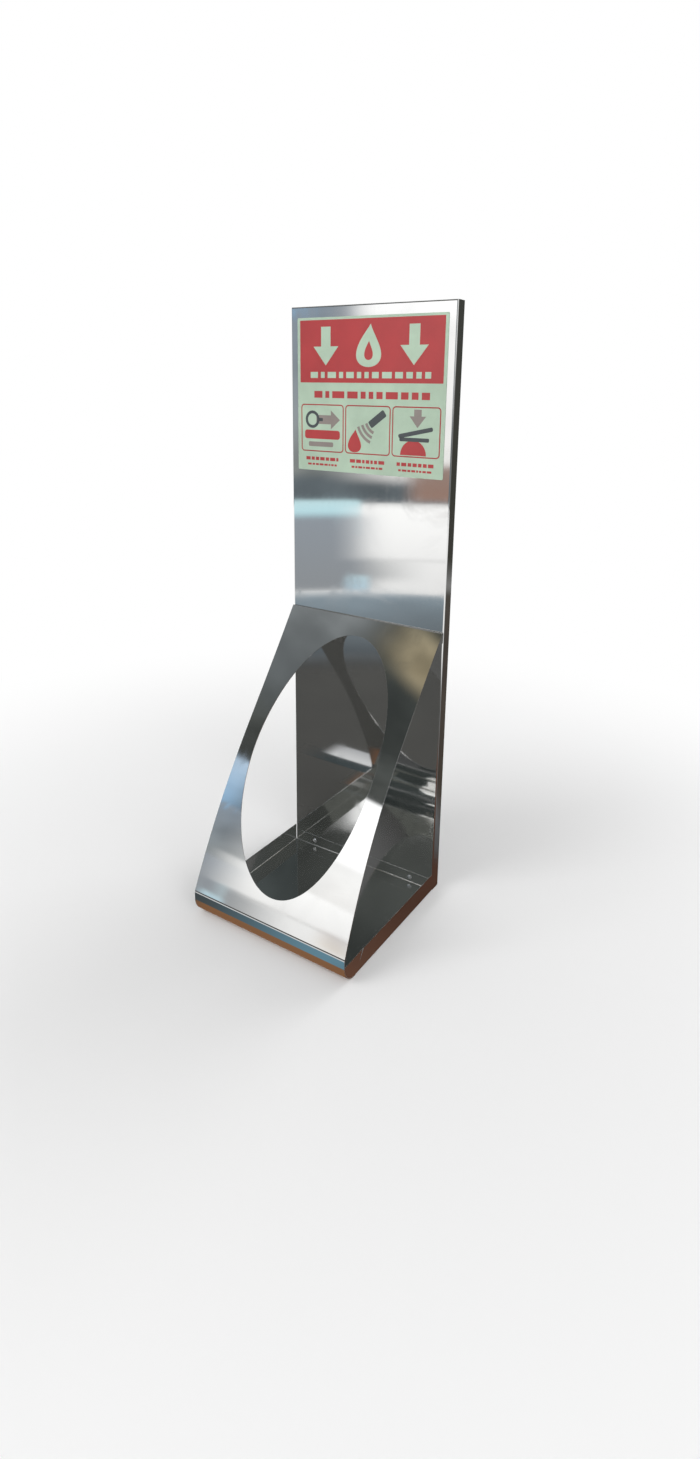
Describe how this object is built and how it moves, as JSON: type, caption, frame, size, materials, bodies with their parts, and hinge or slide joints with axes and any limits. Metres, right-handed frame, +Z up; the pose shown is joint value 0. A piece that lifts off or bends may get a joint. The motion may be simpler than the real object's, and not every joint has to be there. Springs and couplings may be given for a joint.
{
  "type": "fire extinguisher stand",
  "caption": "Free-standing holder of folded mirror steel sheet with a tall sign panel, a tray and a bowed front guard with a large oval opening.",
  "frame": {"origin": "middle of the footprint, on the floor", "axes": "+Z up, -Y towards the open front, +X to the right seen from the front"},
  "size_m": [0.23, 0.23, 0.75],
  "materials": {
    "mirror_sheet": "mirror polished stainless sheet",
    "luminous_sign": "printed luminous film, semi-matte",
    "rivet": "plain blind rivet"
  },
  "bodies": {
    "root": {"back_panel": "mirror_sheet", "tray_and_guard": "mirror_sheet", "sign_sheet": "luminous_sign", "rear_rivets": "rivet"}
  },
  "joints": []
}
